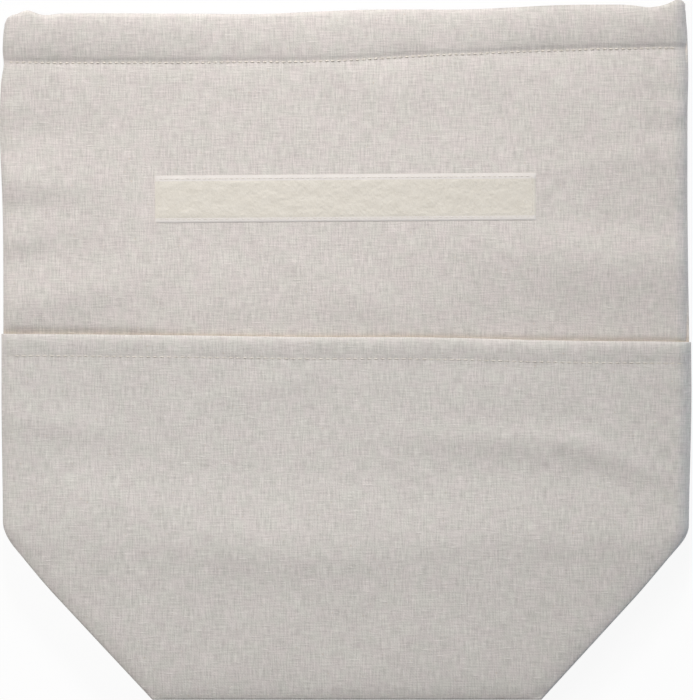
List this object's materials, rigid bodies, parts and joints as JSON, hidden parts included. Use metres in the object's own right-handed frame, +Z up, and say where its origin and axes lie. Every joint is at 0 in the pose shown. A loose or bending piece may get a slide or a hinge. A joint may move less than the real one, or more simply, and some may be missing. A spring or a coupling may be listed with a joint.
{
  "type": "bento bag",
  "caption": "Flat insulated lunch bag of padded linen with a roll-down mouth, hook and loop tape, a wide front pocket and a boxed base folded flat.",
  "frame": {"origin": "on the resting surface, under the middle of the flat outline", "axes": "+X across the bag, +Y from the base to the mouth, +Z up, out of the front face"},
  "size_m": [0.29, 0.29, 0.014],
  "materials": {
    "linen": "undyed linen cotton, plain weave",
    "pocket_linen": "undyed linen cotton, single cloth",
    "padding": "thin white foam",
    "lining": "silvery coated film",
    "loop_pile": "cream loop pile",
    "hook_pile": "cream hook tape"
  },
  "bodies": {
    "bag_back": {"back_shell": "linen", "back_padding": "padding", "back_lining": "lining", "collar_shell": "linen", "collar_padding": "padding", "collar_lining": "lining", "side_seam_left": "linen", "corner_tuck_left": "linen", "side_seam_right": "linen", "corner_tuck_right": "linen", "base_gusset": "linen", "loop_tape": "loop_pile"},
    "fold_lower": {"roll_front_shell": "linen", "roll_front_padding": "padding", "roll_front_lining": "lining", "roll_back_shell": "linen", "roll_back_padding": "padding", "roll_back_lining": "lining", "roll_seam_left": "linen", "roll_seam_right": "linen"},
    "fold_upper": {"rim_front_shell": "linen", "rim_front_padding": "padding", "rim_front_lining": "lining", "rim_back_shell": "linen", "rim_back_padding": "padding", "rim_back_lining": "lining", "rim_seam_left": "linen", "rim_seam_right": "linen", "hook_tape": "hook_pile"},
    "front": {"front_shell": "linen", "front_padding": "padding", "front_lining": "lining"},
    "pocket": {"pocket_panel": "pocket_linen"}
  },
  "joints": [
    {"name": "roll_lower", "type": "hinge", "parent": "bag_back", "child": "fold_lower", "pos_m": [0, 0.079, 0.01945], "axis": [1, 0, 0], "range_deg": [0, 180]},
    {"name": "roll_upper", "type": "hinge", "parent": "fold_lower", "child": "fold_upper", "pos_m": [0, 0.112, 0.01255], "axis": [1, 0, 0], "range_deg": [0, 180]},
    {"name": "fill", "type": "hinge", "parent": "bag_back", "child": "front", "pos_m": [0, 0.04, 0.012], "axis": [-1, 0, 0], "range_deg": [0, 25], "deforming": ["base_gusset", "corner_tuck_left", "corner_tuck_right"]},
    {"name": "pocket_mouth", "type": "hinge", "parent": "front", "child": "pocket", "pos_m": [0, -0.145, 0.0123], "axis": [1, 0, 0], "range_deg": [0, 12]}
  ]
}
